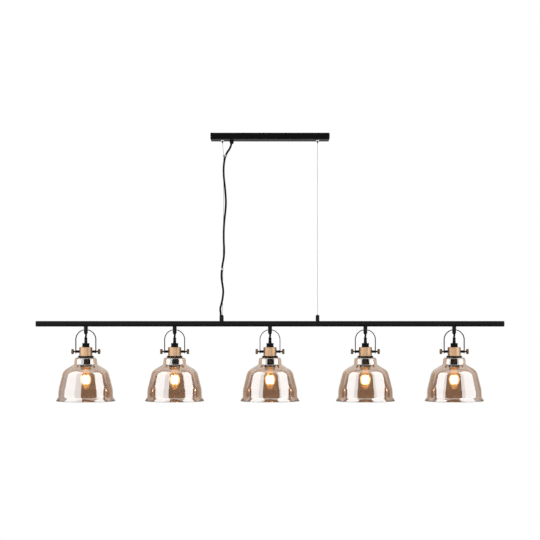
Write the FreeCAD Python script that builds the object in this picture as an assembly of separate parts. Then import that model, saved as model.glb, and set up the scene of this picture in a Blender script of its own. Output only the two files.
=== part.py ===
import FreeCAD, Part
import math
import os

# Linear island pendant: a ceiling canopy, two steel suspension wires and a supply cable,
# a long round bar, and five identical lamp heads.  Each head tilts in a steel bail and
# carries a bell-shaped glass shade.  Millimetres.  The origin lies on the ceiling plane at
# the middle of the canopy, +X runs along the bar, +Z points up, and all hangs below z = 0.

# ---------------------------------------------------------------- driving dimensions

# clearances
seat_gap = 0.1            # between a saddle and the round face that it sits on
running_fit = 0.08        # radial play of a shaft that turns in its hole
cord_fit = 0.1            # radial play of a cord in a bore that holds it
stem_play = 0.3           # radial play of a head's cord in its stem

# rounding of small and of larger turned edges
fine_edge = 0.4
soft_edge = 0.8

# canopy: folded steel cover over a flat ceiling bracket
canopy_length = 380.0
canopy_width = 100.0
canopy_height = 20.0
canopy_wall = 1.2
canopy_bend = 2.0         # outer radius of the folded edges
bracket_width = 40.0
bracket_thickness = 1.5
bracket_tab_width = 24.0
bracket_tab_drop = 13.0
side_screw_drop = 7.8     # from the ceiling to the axis of the side screws
ceiling_hole_spacing = 220.0
ceiling_hole_radius = 2.75
mains_entry_radius = 10.0
canopy_screw_radius = 2.0
canopy_screw_length = 9.0
canopy_screw_head_radius = 3.6
canopy_screw_head_height = 2.2
canopy_screw_slot_width = 0.8
canopy_screw_slot_depth = 1.0

# terminal block under the bracket
terminal_count = 3
terminal_pitch = 11.0
terminal_depth = 17.0
terminal_height = 11.0
terminal_base = 3.0
terminal_barrel_width = 8.4
terminal_hole_radius = 2.0
terminal_screw_radius = 1.6
terminal_x = -70.0

# suspension: wires, their anchors in the canopy and their grips on the bar
suspension_drop = 580.0   # from the canopy's underside to the top of the bar
wire_spacing = 305.0
wire_radius = 0.75
wire_embed = 9.0          # how far a wire runs into its anchor and its grip
anchor_flange_radius = 5.0
anchor_flange_height = 2.2
anchor_tip_radius = 1.6
anchor_tip_length = 7.4
anchor_flange_bevel = 0.6
anchor_stud_radius = 3.5
anchor_stud_length = 8.0
anchor_nut_width = 11.0
anchor_nut_height = 4.0
grip_radius = 6.0
grip_height = 20.0
grip_dome = 3.0
grip_mouth_share = 0.45   # of a grip's radius: the flat ring round its mouth
grip_edge = 2.0
grip_spigot_radius = 4.2
grip_spigot_length = 5.0
inlet_radius = 6.75       # the left grip also takes the supply cable
inlet_wire_offset = 2.9
inlet_cable_offset = 2.6

# supply cable and its gland
cable_radius = 3.2
gland_x = -123.0
gland_flange_radius = 7.0
gland_flange_height = 4.5
gland_cap_radius = 6.0
gland_cap_height = 7.5
gland_cap_taper = 1.6
gland_stub_radius = 5.0
gland_stub_length = 8.0
gland_nut_width = 15.0
gland_nut_height = 3.5
tie_height = 6.0
tie_wall = 1.2
tie_slack = 0.4

# bar
bar_length = 1500.0
bar_radius = 9.0
bar_wall = 1.5
cap_plug_length = 12.0
cap_rim = 1.6
cap_dome = 0.8
cap_plug_wall = 2.0
cap_plug_floor = 1.5
inner_head_spacing = 306.0
outer_head_spacing = 285.0

# hanger stem under the bar, clamped to the bail by its nut
stem_radius = 5.0
stem_bore = cable_radius + stem_play
stem_in_bar = 6.0
shoulder_radius = 6.5
shoulder_height = 8.6
stem_nut_radius = 6.3
stem_nut_height = 8.9
stem_nut_cone = 4.2
stem_nut_mouth = 4.3
stem_nut_edge = 1.5

# bail: a flat strap bent to an inverted U
bail_half_span = 30.8     # inner face of a leg from the head's axis
bail_thickness = 2.6
bail_width = 12.0
bail_height = 71.4        # from the crown's top to the pivot axis

# pivots: knurled screws through the legs and the bushes into the collar
pivot_radius = 2.0
bush_radius = 4.0
knob_neck_radius = 2.7
knob_neck_length = 5.5
knob_head_radius = 8.2
knob_head_width = 7.6
knob_bevel_across = 1.2
knob_bevel_along = 1.4
knob_reach = 3.0          # how far the screw runs past the collar's wall

# lamp head
collar_radius = 21.0
collar_height = 28.0
collar_wall = 2.0
collar_top = 2.5
collar_edge = 1.2
head_nut_radius = 11.75
head_nut_height = 13.0
head_nut_groove = 1.4
cord_grip_height = 17.5
cord_grip_top_radius = 5.2
cord_grip_waist_radius = 4.5
cord_grip_root_radius = 5.3
cord_grip_bead = 2.6
cord_grip_waist_drop = 3.6
grip_stub_radius = 5.0
grip_stub_length = 6.5
cord_embed = 4.0          # how far a head's cord runs into its nut and its grip

# lampholder, its two shade rings and the lamp
holder_radius = 15.0
holder_skirt_radius = 18.0
holder_skirt_height = 7.0
holder_skirt_edge = 2.0
holder_drop = 24.0        # from the glass's top to the top of the skirt
holder_rise = 6.0         # how far it reaches into the collar
holder_bore = 8.6
ring_radius = 25.2
ring_height = 5.0
clamp_ring_radius = 20.5
clamp_ring_height = 3.5
lamp_cap_radius = 7.0
lamp_cap_length = 22.0
lamp_cap_taper = 2.5
lamp_contact_radius = 3.0
lamp_contact_height = 1.0
lamp_seat = 1.0           # from the holder's mouth down to the foot of the screw cap
lamp_rim = 2.0            # height of the cap's plain rim
lamp_length = 71.5        # from the holder's mouth to the tip
lamp_glass = 0.9

# lamp envelope: (radius, depth below the holder's mouth, fillet radius) along the outer face
lamp_neck = (7.4, 4.6, 10.0)
lamp_shoulder = (17.9, 36.1, 24.0)
lamp_taper = (16.8, 48.7, 34.0)
lamp_tip = (6.3, lamp_length, 6.0)

# glass shade: (radius, depth below its top, fillet radius) along the outer face
glass_wall = 2.5
neck_shoulder = (35.2, 0.0, 7.0)
neck_foot = (37.2, 22.0, 5.0)
bell_shoulder = (71.9, 42.8, 30.0)
bell_side = (87.3, 104.0, 80.0)
bell_waist = (87.6, 126.5, 8.0)
bell_rim = (95.0, 138.0)
lip_share = 0.45          # of the wall: the rounding of each edge of the lip

# ---------------------------------------------------------------- derived levels

canopy_under_z = -canopy_height
bar_top_z = canopy_under_z - suspension_drop
bar_axis_z = bar_top_z - bar_radius
bar_under_z = bar_axis_z - bar_radius
crown_z = bar_under_z - shoulder_height
bail_radius = bail_half_span + bail_thickness
bail_centre_z = crown_z - bail_radius
stem_nut_top_z = crown_z - bail_thickness
stem_foot_z = stem_nut_top_z - stem_nut_height - stem_nut_cone
pivot_z = crown_z - bail_height
collar_top_z = pivot_z + collar_height / 2
collar_foot_z = pivot_z - collar_height / 2
cord_grip_top_z = collar_top_z + head_nut_height + cord_grip_height
glass_top_z = collar_foot_z - ring_height
holder_mouth_z = glass_top_z - holder_drop - holder_skirt_height
wire_x = wire_spacing / 2
inlet_x = -wire_x - inlet_wire_offset
cable_end_x = inlet_x - inlet_cable_offset
grip_top_z = bar_top_z + grip_height
outer_head_x = inner_head_spacing + outer_head_spacing
head_positions = [-outer_head_x, -inner_head_spacing, 0.0, inner_head_spacing, outer_head_x]

# The supply cable's route, chosen point by point: out of the gland, along the left wire
# through the two ties, in front of the wire lower down, and into the inlet on the bar.
cable_route = [
    (gland_x, 0.0, canopy_under_z + 3.0),
    (gland_x, 0.0, -41.0),
    (-137.6, 0.0, -66.0),
    (-141.8, 0.0, -96.0),
    (-144.0, 0.0, -130.0),
    (-139.6, -1.0, -180.0),
    (-137.0, -3.0, -228.0),
    (-146.0, -5.2, -284.0),
    (-148.6, -5.6, -336.0),
    (-145.4, -5.6, -386.0),
    (-154.2, -5.2, -428.0),
    (-156.6, -5.2, -462.0),
    (-150.0, -5.6, -498.0),
    (-152.6, -4.4, -527.0),
    (-160.0, -1.6, -554.0),
    (cable_end_x, 0.0, -571.5),
    (cable_end_x, 0.0, grip_top_z - wire_embed),
]
# The cable's upper tie draws the left wire a little sideways.
left_wire_route = [
    (-wire_x, 0.0, canopy_under_z + wire_embed),
    (-wire_x, 0.0, -38.0),
    (-wire_x + 5.0, 0.0, -69.0),
    (-wire_x, 0.0, -574.0),
    (-wire_x, 0.0, grip_top_z - wire_embed),
]
right_wire_route = [
    (wire_x, 0.0, canopy_under_z + wire_embed),
    (wire_x, 0.0, grip_top_z - wire_embed),
]
tie_heights = [-70.0, -433.0]


# ---------------------------------------------------------------- shape helpers

def vector(x, y, z):
    return FreeCAD.Vector(x, y, z)


UP = vector(0, 0, 1)
ALONG = vector(1, 0, 0)


def rounded_wire(corners):
    """Closed outline in the XZ plane through (across, up, fillet radius) corners."""
    points = [vector(corner[0], 0, corner[1]) for corner in corners]
    edges = []
    arcs = []
    for i, corner in enumerate(points):
        radius = corners[i][2] if len(corners[i]) > 2 else 0.0
        arrive = (corner - points[i - 1]).normalize()
        leave = (points[(i + 1) % len(points)] - corner).normalize()
        half_turn = arrive.getAngle(leave) / 2
        reach = radius * math.tan(half_turn)
        inward = leave - arrive
        if inward.Length > 0:
            inward.normalize()
        middle = corner + inward * (radius / math.cos(half_turn) - radius)
        arcs.append((corner - arrive * reach, middle, corner + leave * reach, radius))
    for i, (start, middle, end, radius) in enumerate(arcs):
        before = arcs[i - 1][2]
        if (start - before).Length > 1e-6:
            edges.append(Part.makeLine(before, start))
        if radius > 0:
            edges.append(Part.Arc(start, middle, end).toShape())
    return Part.Wire(edges)


def turned(corners):
    """Solid of revolution about Z from a closed outline of (radius, height, fillet)."""
    return Part.Face(rounded_wire(corners)).revolve(vector(0, 0, 0), UP, 360)


def rod(radius, start, end):
    """Round rod between two points."""
    axis = end - start
    return Part.makeCylinder(radius, axis.Length, start, axis)


def block(x_range, y_range, z_range):
    """Box from its lowest and highest corner values."""
    low = vector(x_range[0], y_range[0], z_range[0])
    sizes = [r[1] - r[0] for r in (x_range, y_range, z_range)]
    return Part.makeBox(*sizes, low)


def hexagon_nut(width, height, bore, centre_x, foot_z):
    """Hexagon nut standing on foot_z, with its corners broken by a chamfer."""
    corner_radius = width / math.sqrt(3)
    points = []
    for i in range(7):
        angle = math.radians(60 * i)
        points.append(vector(centre_x + corner_radius * math.cos(angle),
                             corner_radius * math.sin(angle), foot_z))
    prism = Part.Face(Part.makePolygon(points)).extrude(UP * height)
    chamfer = corner_radius - width / 2
    lathe = turned([(0, 0), (corner_radius, 0), (corner_radius, height - chamfer / 2),
                    (width / 2, height), (0, height)])
    prism = prism.common(lathe.translated(vector(centre_x, 0, foot_z)))
    return prism.cut(Part.makeCylinder(bore, height, vector(centre_x, 0, foot_z)))


def save(name, *solids):
    """Write one node's solids to its own file."""
    shape = solids[0] if len(solids) == 1 else Part.makeCompound(list(solids))
    if not shape.isValid():
        raise ValueError(name + " is not a valid shape")
    shape.exportStep("parts/" + name + ".step")


# ---------------------------------------------------------------- canopy

def folded_box(length, width, depth, radius):
    """Box hanging from z = 0 with its upright and lower edges rounded."""
    box = block((-length / 2, length / 2), (-width / 2, width / 2), (-depth, 0))
    folds = []
    for edge in box.Edges:
        middle = edge.CenterOfMass
        upright = abs(middle.z + depth / 2) < 1e-6
        lower = abs(middle.z + depth) < 1e-6
        if upright or lower:
            folds.append(edge)
    return box.makeFillet(radius, folds)


def canopy_cover():
    """Steel tray, open at the ceiling, pierced for the gland, the anchors and the screws."""
    cover = folded_box(canopy_length, canopy_width, canopy_height, canopy_bend)
    hollow = folded_box(canopy_length - 2 * canopy_wall, canopy_width - 2 * canopy_wall,
                        canopy_height - canopy_wall, canopy_bend - canopy_wall)
    cover = cover.cut(hollow)
    for x, radius in ((gland_x, gland_stub_radius + seat_gap),
                      (-wire_x, anchor_stud_radius + seat_gap),
                      (wire_x, anchor_stud_radius + seat_gap)):
        cover = cover.cut(Part.makeCylinder(radius, 3 * canopy_wall,
                                            vector(x, 0, canopy_under_z - canopy_wall)))
    return cover.cut(side_screw_holes(canopy_screw_radius + 2 * seat_gap))


def side_screw_holes(radius):
    """Rod along X through both ends of the canopy at the height of its side screws."""
    return rod(radius, vector(-canopy_length, 0, -side_screw_drop),
               vector(canopy_length, 0, -side_screw_drop))


def ceiling_bracket():
    """Steel strip against the ceiling, with a folded tab at each end for a side screw."""
    reach = canopy_length / 2 - canopy_wall
    strip = block((-reach, reach), (-bracket_width / 2, bracket_width / 2),
                  (-bracket_thickness, 0))
    for side in (-1, 1):
        inner = side * (reach - bracket_thickness)
        outer = side * reach
        tab = block((min(inner, outer), max(inner, outer)),
                    (-bracket_tab_width / 2, bracket_tab_width / 2), (-bracket_tab_drop, 0))
        strip = strip.fuse(tab)
        hole = Part.makeCylinder(ceiling_hole_radius, 3 * bracket_thickness,
                                 vector(side * ceiling_hole_spacing / 2, 0,
                                        -2 * bracket_thickness))
        strip = strip.cut(hole)
    entry = Part.makeCylinder(mains_entry_radius, 3 * bracket_thickness,
                              vector(0, 0, -2 * bracket_thickness))
    tab_holes = side_screw_holes(canopy_screw_radius + running_fit)
    return strip.removeSplitter().cut(entry).cut(tab_holes)


def canopy_screws():
    """Pan-head screw through each end of the cover into the bracket's tab."""
    screw = turned([(0, -canopy_screw_length), (canopy_screw_radius, -canopy_screw_length),
                    (canopy_screw_radius, 0), (canopy_screw_head_radius, 0),
                    (canopy_screw_head_radius, canopy_screw_head_height, 1.2),
                    (0, canopy_screw_head_height)])
    slot = block((-canopy_screw_head_radius, canopy_screw_head_radius),
                 (-canopy_screw_slot_width / 2, canopy_screw_slot_width / 2),
                 (canopy_screw_head_height - canopy_screw_slot_depth, canopy_screw_head_height))
    screw = screw.cut(slot)
    screws = []
    for side in (-1, 1):
        placed = screw.copy()
        placed.rotate(vector(0, 0, 0), vector(0, 1, 0), side * 90)
        placed.translate(vector(side * canopy_length / 2, 0, -side_screw_drop))
        screws.append(placed)
    return screws


def terminal_block():
    """Moulded block of clamp barrels on a common base, screwed under the bracket."""
    top = -bracket_thickness
    length = terminal_count * terminal_pitch
    start = terminal_x - length / 2
    body = block((start, start + length), (-terminal_depth / 2, terminal_depth / 2),
                 (top - terminal_base, top))
    for i in range(terminal_count):
        x = start + (i + 0.5) * terminal_pitch
        barrel = block((x - terminal_barrel_width / 2, x + terminal_barrel_width / 2),
                       (-terminal_depth / 2, terminal_depth / 2), (top - terminal_height, top))
        body = body.fuse(barrel)
    body = body.removeSplitter()
    for i in range(terminal_count):
        x = start + (i + 0.5) * terminal_pitch
        wire_hole = rod(terminal_hole_radius, vector(x, -terminal_depth, top - terminal_height / 2),
                        vector(x, terminal_depth, top - terminal_height / 2))
        body = body.cut(wire_hole)
        for side in (-1, 1):
            y = side * terminal_depth / 4
            body = body.cut(rod(terminal_screw_radius, vector(x, y, top - 2 * terminal_height),
                                vector(x, y, top - terminal_height / 2)))
    return body


def cable_gland():
    """Cable gland through the canopy's underside, with its locknut inside."""
    bore = cable_radius + cord_fit
    flange_foot = canopy_under_z - gland_flange_height
    cap_foot = flange_foot - gland_cap_height
    inside = canopy_under_z + canopy_wall
    stub_top = canopy_under_z + gland_stub_length
    body = turned([(bore, stub_top), (bore, cap_foot),
                   (gland_cap_radius - gland_cap_taper, cap_foot, fine_edge),
                   (gland_cap_radius, cap_foot + 2 * gland_cap_taper, gland_cap_taper),
                   (gland_cap_radius, flange_foot),
                   (gland_flange_radius, flange_foot, soft_edge),
                   (gland_flange_radius, canopy_under_z), (gland_stub_radius, canopy_under_z),
                   (gland_stub_radius, stub_top)])
    nut = hexagon_nut(gland_nut_width, gland_nut_height, gland_stub_radius + seat_gap,
                      gland_x, inside)
    return body.translated(vector(gland_x, 0, 0)), nut


def wire_anchors():
    """Threaded wire holders through the canopy, each with its nut inside."""
    inside = canopy_under_z + canopy_wall
    bore = wire_radius + cord_fit
    flange_foot = canopy_under_z - anchor_flange_height
    tip_foot = flange_foot - anchor_tip_length
    anchor = turned([(bore, inside + anchor_stud_length), (bore, tip_foot),
                     (anchor_tip_radius, tip_foot, fine_edge),
                     (anchor_stud_radius, flange_foot, fine_edge),
                     (anchor_flange_radius - anchor_flange_bevel, flange_foot, fine_edge),
                     (anchor_flange_radius, canopy_under_z),
                     (anchor_stud_radius, canopy_under_z),
                     (anchor_stud_radius, inside + anchor_stud_length)])
    pieces = []
    for x in (-wire_x, wire_x):
        pieces.append(anchor.translated(vector(x, 0, 0)))
        pieces.append(hexagon_nut(anchor_nut_width, anchor_nut_height,
                                  anchor_stud_radius + seat_gap, x, inside))
    return pieces


# ---------------------------------------------------------------- cords and wires

def cord_path(name, route):
    """Straight runs joined by tangent arcs, each as large as its two runs allow."""
    points = [vector(*point) for point in route]
    edges = []
    radii = []
    last_end = points[0]
    for before, corner, after in zip(points, points[1:], points[2:]):
        arrive = corner - before
        leave = after - corner
        shorter = min(arrive.Length, leave.Length)
        half_turn = arrive.getAngle(leave) / 2
        arrive.normalize()
        leave.normalize()
        reach = 0.45 * shorter
        bend_radius = reach / math.tan(half_turn)
        inward = (leave - arrive).normalize()
        start = corner - arrive * reach
        end = corner + leave * reach
        middle = corner + inward * (bend_radius / math.cos(half_turn) - bend_radius)
        edges.append(Part.LineSegment(last_end, start).toShape())
        edges.append(Part.Arc(start, middle, end).toShape())
        radii.append(round(bend_radius, 1))
        last_end = end
    edges.append(Part.LineSegment(last_end, points[-1]).toShape())
    path = Part.Wire(edges)
    print(name, "bend radii", radii, "length", round(path.Length, 1))
    return path


def round_cord(path, radius):
    """Round solid along a path, with its volume compared with section times length."""
    start = path.OrderedVertexes[0].Point
    onward = path.OrderedVertexes[1].Point - start
    section = Part.Wire(Part.makeCircle(radius, start, onward))
    solid = path.makePipeShell([section], True, False)
    expected = math.pi * radius ** 2 * path.Length
    print("volume over section times length", round(solid.Volume / expected, 4))
    return solid


def crossing(path, height):
    """Point where a path crosses a height."""
    level = Part.makePlane(canopy_length, canopy_width,
                           vector(-canopy_length / 2, -canopy_width / 2, height))
    return path.distToShape(level)[1][0][0]


def cable_ties(cable_path, wire_path):
    """Clear moulded clips, each with a channel for the cable and one for the wire."""
    ties = []
    cable_hole = cable_radius + tie_slack
    wire_hole = wire_radius + tie_slack
    for height in tie_heights:
        lugs = []
        channels = []
        for path, hole in ((cable_path, cable_hole), (wire_path, wire_hole)):
            foot = crossing(path, height - tie_height / 2)
            top = crossing(path, height + tie_height / 2)
            lugs.append(rod(hole + tie_wall, foot, top))
            channels.append(rod(hole, foot * 2 - top, top * 2 - foot))
        cable_at = crossing(cable_path, height)
        wire_at = crossing(wire_path, height)
        across = cable_at - wire_at
        web = block((0, across.Length), (-wire_hole, wire_hole),
                    (-tie_height * 0.45, tie_height * 0.45))
        web.rotate(vector(0, 0, 0), UP, math.degrees(math.atan2(across.y, across.x)))
        body = lugs[0].fuse(lugs[1]).fuse(web.translated(wire_at)).removeSplitter()
        ties.append(body.cut(channels[0]).cut(channels[1]))
    return ties


# ---------------------------------------------------------------- bar

def bar_cylinder(radius):
    """Round rod along the whole bar, for the tube and for what is cut to sit on it."""
    half = vector(bar_length / 2, 0, 0)
    axis = vector(0, 0, bar_axis_z)
    return rod(radius, axis - half, axis + half)


def bar_tube():
    """Round steel tube, pierced below for the stems and above for the two grips."""
    tube = bar_cylinder(bar_radius).cut(bar_cylinder(bar_radius - bar_wall))
    for x in head_positions:
        tube = tube.cut(rod(stem_radius + seat_gap, vector(x, 0, bar_axis_z),
                            vector(x, 0, bar_under_z - 1)))
    for x in (inlet_x, wire_x):
        tube = tube.cut(rod(grip_spigot_radius + seat_gap, vector(x, 0, bar_axis_z),
                            vector(x, 0, bar_top_z + 1)))
    return tube


def end_caps():
    """Turned plug with a low domed face in each end of the bar."""
    bore = bar_radius - bar_wall
    cap = turned([(0, -cap_plug_length), (bore - seat_gap, -cap_plug_length, soft_edge),
                  (bore - seat_gap, 0), (bar_radius, 0), (bar_radius, cap_rim, soft_edge),
                  (0, cap_rim + cap_dome)])
    cap = cap.cut(Part.makeCylinder(bore - cap_plug_wall, cap_plug_length - cap_plug_floor,
                                    vector(0, 0, -cap_plug_length)))
    caps = []
    for side in (-1, 1):
        placed = cap.copy()
        placed.rotate(vector(0, 0, 0), vector(0, 1, 0), side * 90)
        placed.translate(vector(side * bar_length / 2, 0, bar_axis_z))
        caps.append(placed)
    return caps


def bar_grip(radius, holes):
    """Domed barrel on a spigot, saddled to the bar and bored for what enters its top."""
    barrel = turned([(0, grip_top_z), (radius * grip_mouth_share, grip_top_z, grip_edge),
                     (radius, grip_top_z - grip_dome, grip_edge),
                     (radius, bar_axis_z), (0, bar_axis_z)])
    barrel = barrel.cut(bar_cylinder(bar_radius + seat_gap))
    spigot = Part.makeCylinder(grip_spigot_radius, grip_spigot_length + bar_radius,
                               vector(0, 0, bar_top_z - grip_spigot_length))
    grip = barrel.fuse(spigot).removeSplitter()
    for offset, hole_radius in holes:
        grip = grip.cut(Part.makeCylinder(hole_radius, grip_height,
                                          vector(offset, 0, grip_top_z - wire_embed)))
    return grip


def wire_grips():
    """The right grip holds a wire; the left one holds a wire and lets the cable in."""
    wire_hole = wire_radius + cord_fit
    right = bar_grip(grip_radius, [(0.0, wire_hole)])
    left = bar_grip(inlet_radius, [(inlet_wire_offset, wire_hole),
                                   (-inlet_cable_offset, cable_radius + 2 * cord_fit)])
    return left.translated(vector(inlet_x, 0, 0)), right.translated(vector(wire_x, 0, 0))


def at_heads(shape):
    """One copy of a shape under each lamp position."""
    return [shape.translated(vector(x, 0, 0)) for x in head_positions]


def hanger_stem():
    """Threaded tube out of the bar, its shoulder saddled to the bar above the bail."""
    stem = Part.makeCylinder(stem_radius, bar_under_z + stem_in_bar - stem_foot_z - stem_nut_cone,
                             vector(0, 0, stem_foot_z + stem_nut_cone))
    shoulder = Part.makeCylinder(shoulder_radius, bar_axis_z - crown_z, vector(0, 0, crown_z))
    shoulder = shoulder.cut(rod(bar_radius + seat_gap, vector(-bar_radius * 2, 0, bar_axis_z),
                                vector(bar_radius * 2, 0, bar_axis_z)))
    bore = Part.makeCylinder(stem_bore, -stem_foot_z, vector(0, 0, stem_foot_z - 1))
    return stem.fuse(shoulder).removeSplitter().cut(bore)


def stem_nut():
    """Tapered nut that clamps the bail; its top follows the bail's inner curve."""
    cone_top = stem_foot_z + stem_nut_cone
    nut = turned([(stem_radius + running_fit, stem_nut_top_z),
                  (stem_radius + running_fit, cone_top), (cable_radius + cord_fit, cone_top),
                  (cable_radius + cord_fit, stem_foot_z),
                  (stem_nut_mouth, stem_foot_z, fine_edge),
                  (stem_nut_radius, cone_top, stem_nut_edge),
                  (stem_nut_radius, stem_nut_top_z)])
    crown = rod(bail_half_span - seat_gap, vector(0, -bail_width, bail_centre_z),
                vector(0, bail_width, bail_centre_z))
    return nut.common(crown)


def bail():
    """Strap bent to an inverted U, with rounded feet drilled for the pivot screws."""
    def arch(radius):
        top = Part.Arc(vector(-radius, -bail_width / 2, bail_centre_z),
                       vector(0, -bail_width / 2, bail_centre_z + radius),
                       vector(radius, -bail_width / 2, bail_centre_z)).toShape()
        foot = pivot_z - bail_width
        corners = [vector(radius, -bail_width / 2, bail_centre_z),
                   vector(radius, -bail_width / 2, foot),
                   vector(-radius, -bail_width / 2, foot),
                   vector(-radius, -bail_width / 2, bail_centre_z)]
        outline = Part.Wire([top] + Part.makePolygon(corners).Edges)
        return Part.Face(outline).extrude(vector(0, bail_width, 0))

    strap = arch(bail_radius).cut(arch(bail_half_span))
    side = Part.makeCylinder(bail_width / 2, 2 * bail_radius + 2,
                             vector(-bail_radius - 1, 0, pivot_z), ALONG)
    side = side.fuse(block((-bail_radius - 1, bail_radius + 1),
                           (-bail_width / 2, bail_width / 2), (pivot_z, crown_z + 1)))
    strap = strap.common(side.removeSplitter())
    pivot = rod(pivot_radius + running_fit, vector(-bail_radius - 1, 0, pivot_z),
                vector(bail_radius + 1, 0, pivot_z))
    stem_hole = Part.makeCylinder(stem_radius + seat_gap, 2 * shoulder_height,
                                  vector(0, 0, crown_z - shoulder_height))
    return strap.cut(pivot).cut(stem_hole)


def head_cord():
    """Short length of round flex from the stem's nut down into the head's cord grip."""
    return rod(cable_radius, vector(0, 0, stem_foot_z + cord_embed),
               vector(0, 0, cord_grip_top_z - cord_embed))


# ---------------------------------------------------------------- lamp head

def collar():
    """Turned brass cup over the lampholder, drilled on top and at both pivots."""
    inner = collar_radius - collar_wall
    cup = turned([(grip_stub_radius + seat_gap, collar_top_z),
                  (grip_stub_radius + seat_gap, collar_top_z - collar_top),
                  (inner, collar_top_z - collar_top, soft_edge), (inner, collar_foot_z),
                  (collar_radius, collar_foot_z), (collar_radius, collar_top_z, collar_edge)])
    return cup.cut(rod(pivot_radius + running_fit, vector(-collar_radius - 1, 0, pivot_z),
                       vector(collar_radius + 1, 0, pivot_z)))


def head_fittings():
    """Cord grip on its grooved nut over the collar, and a bush at each pivot."""
    nut_top = collar_top_z + head_nut_height
    groove_z = collar_top_z + head_nut_height * 0.5
    bore = cable_radius + cord_fit
    stub_foot = collar_top_z - grip_stub_length
    grip = turned([(bore, cord_grip_top_z), (bore, stub_foot), (grip_stub_radius, stub_foot),
                   (grip_stub_radius, collar_top_z), (head_nut_radius, collar_top_z, soft_edge),
                   (head_nut_radius, groove_z - head_nut_groove, fine_edge),
                   (head_nut_radius - head_nut_groove, groove_z),
                   (head_nut_radius, groove_z + head_nut_groove, fine_edge),
                   (head_nut_radius, nut_top, soft_edge),
                   (cord_grip_root_radius, nut_top, soft_edge),
                   (cord_grip_waist_radius, cord_grip_top_z - cord_grip_waist_drop, soft_edge),
                   (cord_grip_top_radius, cord_grip_top_z - cord_grip_bead, fine_edge),
                   (cord_grip_top_radius, cord_grip_top_z, soft_edge)])
    pieces = [grip]
    for side in (-1, 1):
        bush = rod(bush_radius, vector(0, 0, pivot_z), vector(side * bail_half_span, 0, pivot_z))
        bush = bush.cut(Part.makeCylinder(collar_radius + seat_gap / 2, 4 * bush_radius,
                                          vector(0, 0, pivot_z - 2 * bush_radius)))
        bush = bush.cut(rod(pivot_radius + running_fit, vector(0, 0, pivot_z),
                            vector(side * bail_radius, 0, pivot_z)))
        pieces.append(bush)
    return pieces


def shade_rings():
    """Ring above the glass and the threaded ring that clamps it from below."""
    bore = holder_radius + seat_gap
    above = turned([(bore, collar_foot_z), (bore, glass_top_z),
                    (ring_radius, glass_top_z, soft_edge),
                    (ring_radius, collar_foot_z, soft_edge)])
    clamp_top = glass_top_z - glass_wall
    below = turned([(bore, clamp_top), (bore, clamp_top - clamp_ring_height),
                    (clamp_ring_radius, clamp_top - clamp_ring_height, soft_edge),
                    (clamp_ring_radius, clamp_top, fine_edge)])
    return above, below


def lampholder():
    """Lampholder barrel through the glass, with the rounded skirt round its mouth."""
    top = collar_foot_z + holder_rise
    skirt_top = glass_top_z - holder_drop
    cap_bottom = holder_mouth_z + lamp_cap_length
    return turned([(0, top), (0, cap_bottom), (holder_bore, cap_bottom, soft_edge),
                   (holder_bore, holder_mouth_z, soft_edge),
                   (holder_skirt_radius, holder_mouth_z, holder_skirt_edge),
                   (holder_skirt_radius, skirt_top, holder_skirt_edge),
                   (holder_radius, skirt_top, fine_edge),
                   (holder_radius, top, soft_edge)])


def inset(corners, wall):
    """The same open line of corners moved inward by the wall, fillets kept concentric."""
    points = [vector(corner[0], 0, corner[1]) for corner in corners]
    normals = []
    for start, end in zip(points, points[1:]):
        along = (end - start).normalize()
        normals.append(vector(along.z, 0, -along.x))
    moved = []
    for i, point in enumerate(points):
        first = normals[max(i - 1, 0)]
        second = normals[min(i, len(normals) - 1)]
        shift = (first + second) * (wall / (1 + first.dot(second)))
        turn = first.cross(second).y
        radius = corners[i][2]
        if radius > 0:
            radius += -wall if turn > 0 else wall
        place = point + shift
        moved.append((place.x, place.z, radius))
    return moved


def lamp():
    """Candle-shaped lamp: a blown envelope with an open neck, seated in a screw cap."""
    neck_radius = lamp_neck[0]
    neck = holder_mouth_z - lamp_seat
    outer = [(neck_radius, neck, 0.0)]
    for radius, depth, fillet in (lamp_neck, lamp_shoulder, lamp_taper, lamp_tip):
        outer.append((radius, holder_mouth_z - depth, fillet))
    outer.append((0.0, holder_mouth_z - lamp_length, 0.0))
    inner = inset(outer, lamp_glass)
    envelope = turned(outer + inner[::-1])
    cap_top = holder_mouth_z + lamp_cap_length
    shell_top = cap_top - lamp_contact_height - lamp_cap_taper
    cap = turned([(0, neck), (neck_radius, neck), (neck_radius, neck + lamp_rim, fine_edge),
                  (lamp_cap_radius, neck + 1.5 * lamp_rim), (lamp_cap_radius, shell_top, soft_edge),
                  (lamp_contact_radius, cap_top - lamp_contact_height),
                  (lamp_contact_radius, cap_top, fine_edge), (0, cap_top)])
    return envelope, cap


def glass_shade():
    """Blown bell of even wall: flat neck top, straight neck, shoulder and flared rim."""
    outer = [(holder_radius + 2 * seat_gap, glass_top_z, 0.0)]
    for radius, depth, fillet in (neck_shoulder, neck_foot, bell_shoulder, bell_side,
                                  bell_waist):
        outer.append((radius, glass_top_z - depth, fillet))
    outer.append((bell_rim[0], glass_top_z - bell_rim[1], 0.0))
    inner = inset(outer, glass_wall)
    lip = glass_wall * lip_share
    outer[-1] = (*outer[-1][:2], lip)
    inner[-1] = (*inner[-1][:2], lip)
    return turned(outer + inner[::-1])


def pivot_knob(side):
    """Knurled-head screw whose neck bears on the bail's leg and whose shank is the pivot."""
    seat = bail_radius
    head = seat + knob_neck_length
    tip = collar_radius - collar_wall - knob_reach
    face = head + knob_head_width
    face_radius = knob_head_radius - knob_bevel_across
    knob = turned([(0, tip), (pivot_radius, tip, fine_edge), (pivot_radius, seat),
                   (knob_neck_radius, seat), (knob_neck_radius, head),
                   (face_radius, head, fine_edge),
                   (knob_head_radius, head + knob_bevel_along, fine_edge),
                   (knob_head_radius, face - knob_bevel_along, fine_edge),
                   (face_radius, face, fine_edge), (0, face)])
    knob.rotate(vector(0, 0, 0), vector(0, 1, 0), side * 90)
    return knob.translated(vector(0, 0, pivot_z))


# ---------------------------------------------------------------- write every node

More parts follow.
